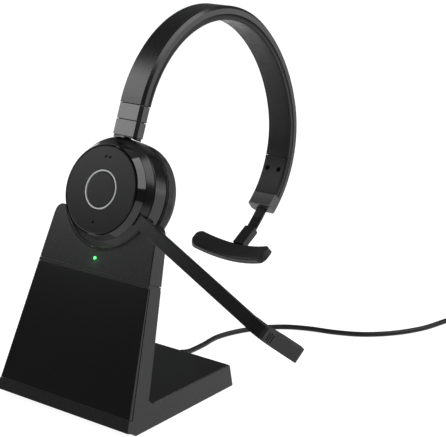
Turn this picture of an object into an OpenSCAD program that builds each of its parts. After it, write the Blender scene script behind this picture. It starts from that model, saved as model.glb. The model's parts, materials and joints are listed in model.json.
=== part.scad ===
// Mono wireless office headset resting on its leaning charging stand, with the stand's USB lead.
// +Z up, millimetres. Front of the stand faces -Y. Origin: middle of the stand's foot, on the desk.

/* [Stand] */
// width of the stand at the desk
stand_w = 99; // [80:1:130]
// depth of the base on the desk, front to back
base_d = 85; // [65:1:120]
// height of the base plate behind the slab
base_h = 13; // [9:0.5:20]
// lean of the slab, backwards from vertical
lean = 22; // [12:1:30]
// length of the slab along its front face
slab_l = 114.5; // [100:0.5:140]
// inward lean of each side, millimetres per millimetre of height
side_k = 0.121; // [0.05:0.005:0.2]
// slab depth at the desk end and how fast it thins upwards
slab_t = 14.6; // [11:0.2:20]
// height along the slab of the seam between body and head
seam_l = 82.7; // [70:0.5:90]

/* [Ear cup] */
// radius of the ear cup housing
cup_r = 30.8; // [27:0.2:34]
// radius of the front cover (volume rocker)
cover_r = 24.6; // [22:0.2:27]
// centre of the cup along the slab
cup_l = 126.5; // [124:0.5:140]
// how far the cup's cover stands in front of the slab
cup_out = 9.2; // [8.8:0.1:12]
// radius of the round call button
button_r = 9.8; // [7:0.2:12]
// radius of the ear cushion
cushion_r = 31; // [28:0.5:34]
// thickness of the ear cushion
cushion_t = 11; // [8:0.5:16]

/* [Headband] */
// width of the band
band_w = 17.6; // [13:0.2:22]
// thickness of the band
band_t = 8.6; // [7.5:0.1:11]
// outer radius of the arch on the cup side
arch_r1 = 73; // [65:0.5:80]
// outer radius across the top
arch_r2 = 97; // [85:0.5:120]
// outer radius on the temple side
arch_r3 = 67.8; // [60:0.1:75]
// travel of the cup-side size slider
slider_travel = 15; // [8:1:16]

/* [Boom] */
// length of the boom from the cup centre to its tip, before the bend is taken off
boom_len = 151.5; // [140:0.5:160]
// height of the boom strip
boom_h = 7.4; // [5:0.2:10]
// how far the boom points below level in the cup's plane
boom_down = 23.1; // [0:0.1:40]
// bend of the microphone end towards the face
tip_bend = 29.5; // [10:0.5:40]

/* [Temple rest] */
// half width of the temple pad
pad_hw = 27.5; // [22:0.5:34]
// height of the temple pad
pad_h = 12; // [9:0.2:18]
// inner radius of the temple pad's curve
pad_r = 68; // [45:1:90]

/* [Lead] */
// thickness of the USB lead
cord_d = 3.2; // [2.6:0.1:4.5]

/* [Hidden] */
fit = 0.05;
gap = 0.35;
y0 = -base_d / 2;
front_y = y0 - 7.3;
slab_thin = 0.052;
panel_l0 = 10.7;
panel_l1 = seam_l - 2.3;
trim_l0 = seam_l - 2.1;
trim_gap = 0.25;
round_r = 5;
base_z = 0.3;
edge = 0.8;
side_edge = 0.54;
floor_z = 3.7;
pcb_y = 4.6;
screw_x = 38;
screw_y = [y0 + 11, y0 + base_d - 9];
ring_y0 = 4.6;
ring_y1 = 8.4;
hub_r = 21.95;
house_y0 = 8.7;
house_y1 = 19.3;
wall = 2;
carrier_y1 = 21;
cradle_r = cup_r + gap;
cradle_t = 1.45;
pivot_y = 12.05;
pivot_z = 26;
blk_y0 = 7.8;
blk_y1 = 16;
blk_z0 = 31.9;
blk_z1 = 40.4;
cap_z0 = 40.8;
cap_z1 = 49.6;
band_z = 49.9;
blk_cut = 1.6;
lip = 0.7;
strip_y0 = 10.4;
strip_y1 = 11.9;
shell_t = 4.7;
hw = band_w / 2;
a12 = 74;
a23 = 34;
lap_a = 0.06;
lap_t = 0.02;
c1 = [arch_r1 + blk_y0 - 0.2, band_z];
c2 = [c1[0] + (arch_r1 - arch_r2) * cos(a12), c1[1] + (arch_r1 - arch_r2) * sin(a12)];
c3 = [c2[0] + (arch_r2 - arch_r3) * cos(a23), c2[1] + (arch_r2 - arch_r3) * sin(a23)];
arm_r = 120;
arm_t = 1.6;
arm_a = -14;
arm_c = c3 + (arch_r3 - 4.1 - arm_r) * [cos(arm_a), sin(arm_a)];
pad_end = 4.5;
far_a0 = -19.2;
far_a1 = -27.8;
far_screw_x = 4.2;
far_screw_a = -3.4;
boom_y = 4.7;
boom_t = 2.8;
tip_t = 6.4;
bend_s = 121.5;
bend_r = 32;
mic_a = 24;
root_s = 40;
boom_z0 = -boom_h / 2 - 0.6;
tip_s = bend_s + bend_r * sin(tip_bend);
tip_y = boom_y + bend_r * (1 - cos(tip_bend));
tip_len = boom_len - tip_s;
temple_y = 138.3;
temple_z = -11.4;
temple_tilt = 38.3;
pad_x = -1;
pad_t = 2.6;
back_t = 1.8;
stem_l = 14.9;
stem_hw = 3.9;
corner_r = 4.6;
// touch marks on the cover: two above the button, one below
MARKS = [[-1.5, 18.2], [1.5, 18.2], [0, -18.2]];
mark_r = 0.75;
mark_deep = 0.3;
fn_big = 96;
fn_mid = 48;

// ---------- shared helpers ----------
// slab frame: x across, y into the slab from its front face, z up along the face
module on_slab() {
    translate([0, front_y, 0])
        rotate([-lean, 0, 0])
            children();
}

// cup frame: origin at the middle of the cup's front cover, y towards the ear, z up along the slab
module on_cup() {
    on_slab()
        translate([0, -cup_out, cup_l])
            children();
}

module on_boom() {
    on_cup()
        rotate([0, boom_down, 0])
            children();
}

// frame of the microphone opening, on the front face of the bend
module on_mic() {
    on_boom()
        translate([bend_s + bend_r * sin(mic_a), boom_y + bend_r * (1 - cos(mic_a)), 0])
            rotate([0, 0, mic_a])
                children();
}

// half width of the stand at height z
function side_x(z) = stand_w / 2 + 0.25 - side_k * z;

// everything between the two leaning sides
module between_sides(inset = 0) {
    translate([0, 60, 0])
        rotate([90, 0, 0])
            linear_extrude(height = 160)
                polygon([[-side_x(base_z) + inset, base_z], [side_x(base_z) - inset, base_z],
                    [side_x(120) - inset, 120], [-side_x(120) + inset, 120]]);
}

// prism across the stand from a [y, z] outline in the slab frame
module across(pts, half = 60) {
    rotate([90, 0, 90])
        translate([0, 0, -half])
            linear_extrude(height = 2 * half)
                polygon(pts);
}

function depth_at(l) = slab_t - slab_thin * l;

// disc or ring about the cup axis from depth ya to yb
module disc(r, ya, yb, fn = fn_big) {
    translate([0, ya, 0])
        rotate([-90, 0, 0])
            cylinder(r = r, h = yb - ya, $fn = fn);
}

// solid turned about the cup axis from [radius, depth] points
module turned(pts, fn = fn_big) {
    rotate([-90, 0, 0])
        rotate_extrude($fn = fn)
            polygon(pts);
}

// box from its two corners
module bar(p, q) {
    translate(p)
        cube([q[0] - p[0], q[1] - p[1], q[2] - p[2]]);
}

// one corner of a section, cut back by c towards sx and sy, or left square
function corner(x, y, sx, sy, c) = c > 0 ? [[x + sx * c, y], [x, y + sy * c]] : [[x, y]];

// rectangle section with cut corners: ci on the inner side, co on the outer side
module band_section(ra, rb, h, ci, co) {
    polygon(concat([for (k = [1 : -1 : 0]) if (ci > 0 || k == 0) corner(ra, -h, 1, 1, ci)[k]],
        corner(rb, -h, -1, 1, co),
        [for (k = [1 : -1 : 0]) if (co > 0 || k == 0) corner(rb, h, -1, -1, co)[k]],
        corner(ra, h, 1, -1, ci)));
}

// one bow of the arch in the cup frame, about an axis across the band
module bow(c, ra, rb, h, from, to, ci = 0.4, co = 0.4, fn = 180) {
    translate([0, c[0], c[1]])
        rotate([90, 0, 90])
            rotate([0, 0, from])
                rotate_extrude(angle = to - from, $fn = fn)
                    band_section(ra, rb, h, ci, co);
}

// the three bows between two depths t0 and t1 below the outer face, with a thin lap over each join
module arch(t0, t1, h, from, to, ci = 0.4, co = 0.4) {
    bow(c1, arch_r1 - t1, arch_r1 - t0, h, a12 + lap_a, from, ci, co);
    bow(c1, arch_r1 - t1 - lap_t, arch_r1 - t0 + lap_t, h + lap_t, a12 - 2 * lap_a, a12 + 2 * lap_a, ci, co);
    bow(c2, arch_r2 - t1, arch_r2 - t0, h, a23 + lap_a, a12 - lap_a, ci, co);
    bow(c3, arch_r3 - t1 - lap_t, arch_r3 - t0 + lap_t, h + lap_t, a23 - 2 * lap_a, a23 + 2 * lap_a, ci, co);
    bow(c3, arch_r3 - t1, arch_r3 - t0, h, to, a23 - lap_a, ci, co);
}

// block with cut upright edges
module block(x, ya, yb, za, zb, c) {
    translate([0, 0, za])
        linear_extrude(height = zb - za)
            polygon([[-x + c, ya], [x - c, ya], [x, ya + c], [x, yb - c],
                [x - c, yb], [-x + c, yb], [-x, yb - c], [-x, ya + c]]);
}

// ---------- stand ----------
module slab_edges(l0, l1) {
    for (s = [-1, 1])
        translate([s * side_x(cos(lean) * l0), 0, l0])
            rotate([0, -s * atan(side_k * cos(lean)), 0])
                rotate([0, 0, 45])
                    cube([side_edge, side_edge, 2 * (l1 - l0) + 4], center = true);
}

module slab_solid(l0, l1) {
    across([[0, l0], [0, l1], [depth_at(l1), l1], [depth_at(l0), l0]]);
}

module base_profile() {
    translate([-60, y0, 0])
        rotate([90, 0, 90])
            linear_extrude(height = 120)
                polygon([[0.4, base_z], [-2.9, 10], [0, 17.2], [14, 15.2], [15.2, base_h + 0.6], [16.6, base_h],
                    [base_d - 1.4, base_h], [base_d - 0.7, base_h - 0.7], [base_d, base_z + 0.5],
                    [base_d - 0.5, base_z]]);
}

module base_top_cut() {
    for (s = [-1, 1])
        translate([s * side_x(base_h), y0 + 18 + base_d / 2, base_h])
            rotate([0, 45, 0])
                cube([edge, base_d, edge], center = true);
}

module at_screws() {
    for (x = [-screw_x, screw_x])
        for (y = screw_y)
            translate([x, y, 0])
                children();
}

module shell_cavity() {
    difference() {
        bar([-44.5, y0 + 5, -1], [44.5, y0 + base_d - 3.2, base_h - 2.6]);
        at_screws()
            translate([0, 0, 2.8])
                cylinder(r = 3.4, h = base_h, $fn = 32);
    }
}

module stand_shell() {
    color([0.05, 0.05, 0.055])
        difference() {
            intersection() {
                between_sides();
                union() {
                    difference() {
                        base_profile();
                        base_top_cut();
                    }
                    on_slab()
                        slab_solid(4, trim_l0);
                }
            }
            on_slab()
                across([[-6, panel_l0], [-6, panel_l1], [1.4, panel_l1], [2.7, panel_l0]]);
            on_slab()
                bar([-60, -6, panel_l1 - 0.1], [60, 0, 200]);
            on_slab()
                across([[1, 18], [1, 76], [7.6, 76], [10.6, 18]], 36);
            on_slab()
                bar([-22, 2.5, 70], [22, 7.5, trim_l0 + 1]);
            shell_cavity();
            at_screws()
                cylinder(r = 1.65, h = base_h - 2.5, $fn = 24);
            translate([0, y0 + base_d - 5, cord_z])
                rotate([-90, 0, 0])
                    cylinder(r = 2.5, h = 8, $fn = fn_mid);
        }
}

module stand_front_panel() {
    color([0.045, 0.045, 0.05])
        difference() {
            intersection() {
                between_sides(0.15);
                on_slab()
                    across([[0, panel_l0 + 0.15], [0, panel_l1 - 0.2], [1.2, panel_l1 - 0.2],
                        [2.45, panel_l0 + 0.15]]);
            }
            on_slab()
                slab_edges(panel_l0 - 2, panel_l1 + 2);
        }
}

module stand_seam_trim() {
    color([0.12, 0.12, 0.125])
        difference() {
            union() {
                intersection() {
                    between_sides(0.1);
                    on_slab()
                        across([[0.05, trim_l0], [0.05, seam_l - trim_gap],
                            [depth_at(seam_l) - 0.1, seam_l - trim_gap], [depth_at(trim_l0) - 0.1, trim_l0]]);
                }
                intersection() {
                    between_sides(0.7);
                    on_slab()
                        across([[0.6, trim_l0 + 1], [0.6, seam_l], [depth_at(seam_l) - 0.7, seam_l],
                            [depth_at(trim_l0) - 0.7, trim_l0 + 1]]);
                }
            }
            on_slab()
                bar([-22, 2.5, trim_l0 - 1], [22, 7.5, seam_l + 1]);
        }
}

module head_corner(s) {
    x = side_x(cos(lean) * slab_l);
    translate([s * (x - round_r), -1, slab_l - round_r])
        difference() {
            bar([s > 0 ? 0 : -round_r - 4, 0, 0], [s > 0 ? round_r + 4 : 0, 14, round_r + 1]);
            translate([0, -1, 0])
                rotate([-90, 0, 0])
                    cylinder(r = round_r, h = 16, $fn = fn_big);
        }
}

module stand_head() {
    color([0.05, 0.05, 0.055])
        difference() {
            intersection() {
                between_sides();
                on_slab()
                    slab_solid(seam_l, slab_l);
            }
            on_slab()
                slab_edges(seam_l - 2, slab_l + 2);
            on_slab()
                for (s = [-1, 1])
                    head_corner(s);
            on_cup()
                disc(cradle_r + cradle_t, cup_out - 2, cup_out + 14);
            on_slab()
                bar([-22, 2.5, seam_l - 1], [22, 7.5, seam_l + 8]);
            on_slab()
                translate([-0.5, -1, 89.4])
                    rotate([-90, 0, 0])
                        cylinder(r = 0.95, h = 5, $fn = 24);
            on_slab()
                for (s = [-1, 1])
                    translate([s * 4, 5, seam_l + 6])
                        cylinder(r = 1.05, h = 12, $fn = 24);
        }
}

module stand_base_plate() {
    color([0.1, 0.1, 0.1])
        difference() {
            bar([-44.3, y0 + 5.2, 1.2], [44.3, y0 + base_d - 3.4, 2.8]);
            at_screws()
                cylinder(r = 1.65, h = 4, $fn = 24);
        }
}

module stand_foot_mat() {
    color([0.08, 0.08, 0.08])
        bar([-43, y0 + 14, 0], [43, y0 + base_d - 12, 1.2]);
}

module stand_base_weight() {
    color([0.5, 0.5, 0.52])
        bar([-34, y0 + 20, 2.8], [34, y0 + base_d - 16, 8.8]);
}

module stand_screws() {
    color([0.6, 0.6, 0.62])
        at_screws()
            translate([0, 0, 1.3])
                difference() {
                    cylinder(r = 1.6, h = base_h - 4, $fn = 24);
                    translate([0, 0, -0.1])
                        cylinder(r = 0.8, h = 0.9, $fn = 6);
                }
}

module stand_pcb() {
    color([0.05, 0.3, 0.12])
        on_slab()
            bar([-20, pcb_y, 34], [20, pcb_y + 1.6, seam_l + 7]);
}

module stand_led_lens() {
    color([0.2, 0.95, 0.4])
        on_slab()
            translate([-0.5, 0.05, 89.4])
                rotate([-90, 0, 0])
                    cylinder(r = 0.9, h = pcb_y - 0.05, $fn = 24);
}

module dock_cradle() {
    color([0.07, 0.07, 0.07])
        difference() {
            on_cup()
                translate([0, cup_out + 0.3, 0])
                    rotate([-90, 0, 0])
                        rotate([0, 0, 25])
                            rotate_extrude(angle = 130, $fn = fn_big)
                                translate([cradle_r, 0])
                                    square([cradle_t, 8]);
            on_slab()
                for (s = [-1, 1])
                    translate([s * 4, 5, seam_l + 6])
                        cylinder(r = 1.05, h = 12, $fn = 24);
        }
}

module dock_pins() {
    color([0.85, 0.7, 0.35])
        on_slab()
            for (s = [-1, 1])
                translate([s * 4, 5, seam_l + 7])
                    cylinder(r = 1, h = cup_l - sqrt(cup_r * cup_r - 16) - 0.15 - seam_l - 7, $fn = 24);
}

// ---------- lead ----------
boot_y = y0 + base_d;
cord_z = 3.6;
boot_len = 11;
lie_z = cord_d / 2;
coil_c = [135, 245];
coil_mid = 19.2;
coil_ra = coil_mid - 5.6;
coil_rb = coil_mid + 5.6;
coil_h = 4 * cord_d;
plug_x = -14;
plug_y = 12;
plug_w = 15.6;
plug_t = 8;
plug_len = 26;
usb_w = 12;
usb_t = 4.5;
usb_len = 12;
ROUTE = [[0, boot_y + boot_len + 0.3, cord_z], [0, 56.5, cord_z], [0, 61, 2.4], [0, 66.5, lie_z],
    [0, 78, lie_z], [-1, 93, lie_z], [3, 108, lie_z], [11, 122, lie_z], [22, 133, lie_z],
    [36, 140, lie_z], [53, 145, lie_z], [69, 153, lie_z], [83, 167, lie_z], [93, 185, lie_z],
    [98, 205, lie_z], [101, 218, lie_z], [106, 231, lie_z],
    [coil_c[0] - coil_mid - 4, coil_c[1], lie_z]];

function spline(p, i, t) = let (a = p[max(i - 1, 0)], b = p[i], c = p[i + 1], d = p[min(i + 2, len(p) - 1)])
    0.5 * ((2 * b) + (c - a) * t + (2 * a - 5 * b + 4 * c - d) * t * t + (3 * b - a - 3 * c + d) * t * t * t);
function route_points(p, n) =
    [for (i = [0 : len(p) - 2]) for (k = [0 : n - 1]) spline(p, i, k / n), p[len(p) - 1]];
function unit(v) = v / norm(v);
function rings(p, r, m) = [for (i = [0 : len(p) - 1])
    let (t = unit(p[min(i + 1, len(p) - 1)] - p[max(i - 1, 0)]), s = unit(cross(t, [0, 0, 1])), u = cross(s, t))
    for (k = [0 : m - 1]) p[i] + r * (cos(360 * k / m) * s + sin(360 * k / m) * u)];
function tube_faces(n, m) = concat([[for (k = [0 : m - 1]) k]],
    [for (i = [0 : n - 2]) for (k = [0 : m - 1])
        [i * m + k, (i + 1) * m + k, (i + 1) * m + (k + 1) % m, i * m + (k + 1) % m]],
    [[for (k = [m - 1 : -1 : 0]) (n - 1) * m + k]]);

module usb_cord() {
    pts = route_points(ROUTE, 3);
    color([0.06, 0.06, 0.06])
        polyhedron(points = rings(pts, cord_d / 2, 8), faces = tube_faces(len(pts), 8), convexity = 6);
}

module cord_boot() {
    color([0.05, 0.05, 0.05])
        translate([0, boot_y - 3, cord_z])
            rotate([-90, 0, 0])
                rotate_extrude($fn = fn_mid)
                    polygon([[0, 0], [2.45, 0], [2.45, 3], [2.9, 3.05], [2.9, 5],
                        [1.75, 3 + boot_len], [0, 3 + boot_len]]);
}

module usb_cord_coil() {
    color([0.06, 0.06, 0.06])
        translate([coil_c[0], coil_c[1], 0])
            rotate_extrude($fn = fn_mid)
                polygon([[coil_ra, 1], [coil_ra + 1, 0], [coil_rb - 1, 0], [coil_rb, 1], [coil_rb, coil_h - 1],
                    [coil_rb - 1, coil_h], [coil_ra + 1, coil_h], [coil_ra, coil_h - 1]]);
}

// rubber tie wrapped once round the bundle
module coil_tie() {
    color([0.1, 0.1, 0.1])
        translate([coil_c[0], coil_c[1], 0])
            rotate([0, 0, -60])
                difference() {
                    bar([coil_ra - 0.8, -5, 0.1], [coil_rb + 0.8, 5, coil_h + 0.8]);
                    rotate_extrude($fn = fn_mid)
                        polygon([[coil_ra, -1], [coil_rb, -1], [coil_rb, coil_h - 1], [coil_rb - 1, coil_h],
                            [coil_ra + 1, coil_h], [coil_ra, coil_h - 1]]);
                }
}

module usb_plug_body() {
    color([0.05, 0.05, 0.05])
        translate([coil_c[0] + plug_x, coil_c[1] + plug_y, coil_h])
            rotate([90, 0, 90])
                block(plug_w / 2, 0, plug_t, 0, plug_len, 1.2);
}

module usb_plug_shell() {
    z = coil_h + (plug_t - usb_t) / 2;
    color([0.75, 0.75, 0.77])
        translate([coil_c[0] + plug_x + plug_len, coil_c[1] + plug_y, z])
            difference() {
                bar([0, -usb_w / 2, 0], [usb_len, usb_w / 2, usb_t]);
                bar([1, -usb_w / 2 + 0.4, 0.4], [usb_len + 1, usb_w / 2 - 0.4, usb_t - 0.4]);
            }
}

// ---------- ear cup ----------
module earcup_housing() {
    color([0.06, 0.06, 0.065])
        on_cup()
            difference() {
                union() {
                    turned([[0, house_y0], [cup_r - 0.4, house_y0], [cup_r, house_y0 + 0.4],
                        [cup_r, house_y1 - 1.2], [cup_r - 0.8, house_y1], [0, house_y1]]);
                    disc(hub_r, floor_z + 0.6, house_y0 + 0.2);
                    bar([-7.5, house_y0 + 0.3, 27], [7.5, 15.6, cup_r - 0.8]);
                }
                difference() {
                    disc(cup_r - wall, house_y0 + 1.2, house_y1 + 1);
                    for (s = [-1, 1])
                        bar([s > 0 ? 4.3 : -7.5, house_y0, 22.6], [s > 0 ? 7.5 : -4.3, 14.8, 32]);
                }
                disc(hub_r - 2, floor_z, house_y0 + 1.4);
                translate([-9, pivot_y, pivot_z])
                    rotate([0, 90, 0])
                        cylinder(r = 1.95, h = 18, $fn = fn_mid);
                bar([-2.7, pivot_y - 3.05, 22], [2.7, pivot_y + 3.05, 34]);
                for (s = [-1, 1])
                    translate([s * 4, 14.2, -33])
                        cylinder(r = 1.3, h = 6, $fn = 24);
                rotate([0, -168, 0])
                    bar([26, 12.35, -4.55], [34, 15.65, 4.55]);
                rotate([0, -196, 0])
                    bar([26, 12.6, -4.2], [34, 15.4, 4.2]);
            }
}

module earcup_bezel() {
    color([0.015, 0.015, 0.02])
        on_cup()
            turned([[cover_r + gap, 0.7], [cover_r + 0.75, 0.45], [cover_r + 3.1, floor_z + 0.6], [6, floor_z + 0.6],
                [6, floor_z], [cover_r + gap, floor_z]]);
}

module volume_cover() {
    color([0.07, 0.07, 0.075])
        on_cup()
            difference() {
                turned([[0, 0], [cover_r - 0.7, 0], [cover_r, 0.5], [cover_r, 2.8], [0, 2.8]]);
                disc(button_r + 1.5, -1, 4);
                disc(cover_r - 1.4, 1.3, 4);
                for (m = MARKS)
                    translate([m[0], -0.5, m[1]])
                        rotate([-90, 0, 0])
                            cylinder(r = mark_r, h = 0.5 + mark_deep, $fn = 20);
            }
}

module call_button() {
    color([0.06, 0.06, 0.065])
        on_cup()
            union() {
                turned([[0, 0.15], [button_r - 0.4, 0.15], [button_r, 0.5], [button_r, 3.1], [0, 3.1]]);
                disc(2.5, 3, 5.6, fn_mid);
            }
}

module led_ring() {
    color([0.75, 0.76, 0.78])
        on_cup()
            difference() {
                disc(button_r + 1.15, 0, floor_z);
                disc(button_r + gap, -1, floor_z + 1);
            }
}

module tact_switch() {
    color([0.3, 0.3, 0.32])
        on_cup()
            union() {
                disc(1.6, 6.3, 8, 24);
                bar([-3, 8, -3], [3, 10, 3]);
            }
}

module main_pcb() {
    color([0.05, 0.3, 0.12])
        on_cup()
            disc(19.6, 10, 11.2);
}

module battery_cell() {
    color([0.55, 0.56, 0.6])
        on_cup()
            bar([-13, 11.2, 6.5], [13, 15.2, 22]);
}

module charge_contacts() {
    color([0.85, 0.7, 0.35])
        on_cup()
            for (s = [-1, 1])
                translate([s * 4, 14.2, -cup_r + 0.45])
                    cylinder(r = 1.3, h = 3, $fn = 24);
}

module usb_port() {
    color([0.7, 0.7, 0.72])
        on_cup()
            rotate([0, -168, 0])
                difference() {
                    bar([26, 12.4, -4.5], [30.2, 15.6, 4.5]);
                    bar([27, 12.75, -4.15], [31, 15.25, 4.15]);
                    bar([26.5, 13.7, -3.2], [30, 14.3, 3.2]);
                }
}

module power_slide() {
    color([0.1, 0.1, 0.1])
        on_cup()
            rotate([0, -196, 0])
                union() {
                    bar([27, 12.9, -3.7], [31.1, 15.1, 0.3]);
                    bar([26, 12.2, -4.6], [27.6, 15.8, 1.2]);
                    for (k = [-2.6, -1.7, -0.8])
                        bar([31, 13.2, k - 0.2], [31.4, 14.8, k + 0.2]);
                }
}

module speaker_baffle() {
    color([0.09, 0.09, 0.09])
        on_cup()
            difference() {
                disc(cup_r - wall - fit, 17.8, house_y1);
                disc(18.05, 17, 20);
            }
}

module speaker_frame() {
    color([0.2, 0.2, 0.21])
        on_cup()
            difference() {
                disc(18, 16.6, house_y1);
                disc(16.4, 17.3, 20);
            }
}

module speaker_magnet() {
    color([0.55, 0.55, 0.57])
        on_cup()
            disc(5.6, 12.6, 16.6, fn_mid);
}

module speaker_cone() {
    color([0.15, 0.15, 0.16])
        on_cup()
            turned([[0, 17.5], [4, 17.5], [7, 17.3], [16.3, 18.6], [16.3, 19], [7, 17.8], [4, 18.6], [0, 19]]);
}

module speaker_cloth() {
    color([0.1, 0.1, 0.1])
        on_cup()
            disc(15.4, 20.6, carrier_y1, fn_mid);
}

module cushion_carrier() {
    color([0.03, 0.03, 0.03])
        on_cup()
            difference() {
                disc(cushion_r - 1.8, house_y1, carrier_y1);
                disc(15.5, house_y1 - 1, carrier_y1 + 1);
            }
}

module ear_cushion() {
    ro = cushion_r;
    ri = 14.5;
    rr = 5.2;
    color([0.08, 0.08, 0.085])
        on_cup()
            turned(concat([[ri, carrier_y1], [ro - 1.6, carrier_y1]],
                [for (k = [0 : 10 : 90]) [ro - 1.6 + 1.6 * sin(k), carrier_y1 + 1.6 - 1.6 * cos(k)]],
                [for (k = [0 : 9 : 90]) [ro - rr + rr * cos(k), carrier_y1 + cushion_t - rr + rr * sin(k)]],
                [for (k = [90 : 9 : 180]) [ri + 4 + 4 * cos(k), carrier_y1 + cushion_t - 4 + 4 * sin(k)]]));
}

// ---------- boom ----------
module boom_ring() {
    color([0.06, 0.06, 0.065])
        union() {
            on_cup()
                turned([[hub_r + fit, ring_y0], [cover_r + 3.1, ring_y0], [cup_r - 0.3, ring_y1 - 0.1],
                    [cup_r - 0.5, ring_y1], [hub_r + fit, ring_y1]]);
            on_boom()
                difference() {
                    bar([23, boom_y, boom_z0], [root_s, boom_y + boom_t, boom_z0 + boom_h]);
                    disc(25, 0, 12);
                }
        }
}

function bend_pts(r, yc, from, to, n) = [for (k = [0 : n])
    let (a = from + (to - from) * k / n) [bend_s + r * sin(a), yc - r * cos(a)]];

module boom_arm() {
    color([0.055, 0.055, 0.06])
        on_boom()
            bar([root_s, boom_y, boom_z0], [bend_s, boom_y + boom_t, boom_z0 + boom_h]);
}

module tip_outline() {
    yc = boom_y + bend_r;
    e = [tip_s, tip_y];
    d = [cos(tip_bend), sin(tip_bend)];
    n = [-sin(tip_bend), cos(tip_bend)];
    polygon(concat(bend_pts(bend_r, yc, 0, tip_bend, 8),
        [e + d * (tip_len - 0.8), e + d * tip_len + n * 0.8, e + d * tip_len + n * (tip_t - 2),
            e + d * (tip_len - 2) + n * tip_t, e + d * 2 + n * tip_t,
            [bend_s + 8, boom_y + boom_t + 2.4], [bend_s, boom_y + boom_t]]));
}

module boom_tip() {
    color([0.055, 0.055, 0.06])
        difference() {
            on_boom()
                translate([0, 0, boom_z0])
                    linear_extrude(height = boom_h)
                        tip_outline();
            on_mic()
                bar([-4.4, 1.2, boom_z0 + 1.1], [4.4, 4.4, boom_z0 + boom_h - 1.1]);
            on_mic()
                for (i = [-1 : 1])
                    for (k = [0 : i == 0 ? 4 : 3])
                        translate([i * 1.15, -1, boom_z0 + (i == 0 ? 1.4 : 1.98) + k * 1.15])
                            rotate([-90, 0, 0])
                                cylinder(r = 0.42, h = 4, $fn = 14);
        }
}

module mic_mesh() {
    color([0.2, 0.2, 0.2])
        on_mic()
            bar([-3.6, 1.2, boom_z0 + 1.2], [3.6, 1.5, boom_z0 + boom_h - 1.2]);
}

module mic_capsule() {
    color([0.7, 0.7, 0.72])
        on_mic()
            translate([0, 1.5, boom_z0 + boom_h / 2])
                rotate([-90, 0, 0])
                    cylinder(r = 2, h = 2.2, $fn = 32);
}

// ---------- band ----------
// curved slot that the temple arm slides in
module arm_slot() {
    bow(arm_c, arm_r - arm_t / 2 - 0.1, arm_r + arm_t / 2 + 0.1, 3.7, arm_a - 9.5, arm_a + 9.6, 0, 0);
}

// places of the two screws in the inner face of the far end, at a depth below that face
module at_far_screws(depth) {
    for (s = [-1, 1])
        translate([s * far_screw_x, c3[0], c3[1]])
            rotate([far_screw_a, 0, 0])
                translate([0, arch_r3 - band_t + depth, 0])
                    rotate([-90, 0, 0])
                        children();
}

module pivot_stem() {
    color([0.35, 0.35, 0.37])
        on_cup()
            union() {
                translate([-7.4, pivot_y, pivot_z])
                    rotate([0, 90, 0])
                        cylinder(r = 1.9, h = 14.8, $fn = fn_mid);
                translate([0, pivot_y, pivot_z])
                    cylinder(r = 2.2, h = 11, $fn = fn_mid);
                translate([0, pivot_y, 36.7])
                    cylinder(r = 3, h = 1.4, $fn = fn_mid);
                difference() {
                    block(hw - 0.4, blk_y0 + 0.5, blk_y1 - 0.5, blk_z0 - 2.4, blk_z0 - 0.05, blk_cut);
                    disc(cup_r + 0.6, 0, 40);
                }
            }
}

module slider_block() {
    color([0.09, 0.09, 0.095])
        on_cup()
            difference() {
                block(hw, blk_y0, blk_y1, blk_z0, blk_z1, blk_cut);
                translate([0, pivot_y, blk_z0 - 1])
                    cylinder(r = 2.25, h = 6, $fn = fn_mid);
                translate([0, pivot_y, 36.6])
                    cylinder(r = 3.1, h = 1.8, $fn = fn_mid);
            }
}

module slider_strip() {
    color([0.35, 0.35, 0.37])
        on_cup()
            bar([-5, strip_y0, blk_z1], [5, strip_y1, 62]);
}

module band_end_cap() {
    color([0.09, 0.09, 0.095])
        on_cup()
            difference() {
                union() {
                    block(hw, blk_y0, blk_y1, cap_z0, cap_z1, blk_cut);
                    block(hw - lip, blk_y0 + lip, blk_y1 - lip, blk_z1 + fit, band_z, blk_cut);
                }
                bar([-5.1, strip_y0 - 0.1, cap_z0 - 1], [5.1, strip_y1 + 0.1, cap_z1 + 1]);
            }
}

module headband_shell() {
    color([0.06, 0.06, 0.065])
        on_cup()
            difference() {
                arch(0, shell_t, hw, 180, far_a0, 0, blk_cut);
                arch(shell_t - 0.5, shell_t + 1, 6.05, 166, pad_end + 1.5, 0, 0);
                bar([-5.1, strip_y0 - 0.1, 49], [5.1, strip_y1 + 0.1, 66]);
                arm_slot();
            }
}

module headband_spring() {
    color([0.6, 0.6, 0.62])
        on_cup()
            arch(shell_t - 0.5, shell_t, 6, 166, pad_end + 1.5, 0, 0);
}

module headband_pad() {
    color([0.08, 0.08, 0.08])
        on_cup()
            arch(shell_t, band_t, hw - 0.2, 180, pad_end, 1, 0.2);
}

module band_far_cover() {
    color([0.07, 0.07, 0.075])
        on_cup()
            difference() {
                bow(c3, arch_r3 - band_t, arch_r3 - shell_t, hw - 0.2, far_a0, pad_end - 0.1, 1, 0.2);
                arm_slot();
                at_far_screws(-1)
                    cylinder(r = 1.6, h = 2.6, $fn = 24);
            }
}

module band_screws() {
    color([0.3, 0.3, 0.31])
        on_cup()
            at_far_screws(0.6)
                difference() {
                    cylinder(r = 1.55, h = 1, $fn = 24);
                    translate([0, 0, -0.1])
                        cylinder(r = 0.8, h = 0.6, $fn = 6);
                }
}

module band_far_cap() {
    color([0.09, 0.09, 0.095])
        on_cup()
            difference() {
                bow(c3, arch_r3 - band_t, arch_r3, hw, far_a1, far_a0 - 0.2, 1.1, blk_cut);
                arm_slot();
            }
}

// ---------- temple rest ----------
module temple_arm() {
    color([0.3, 0.3, 0.31])
        on_cup()
            bow(arm_c, arm_r - arm_t / 2, arm_r + arm_t / 2, 3.6, arm_a - 16.7, arm_a + 2.4, 0.2, 0.2);
}

// temple frame: origin at the middle of the pad's upper edge, y away from the head, z up along the stem
module on_temple() {
    on_cup()
        translate([0, temple_y, temple_z])
            rotate([-temple_tilt, 0, 0])
                children();
}

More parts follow.
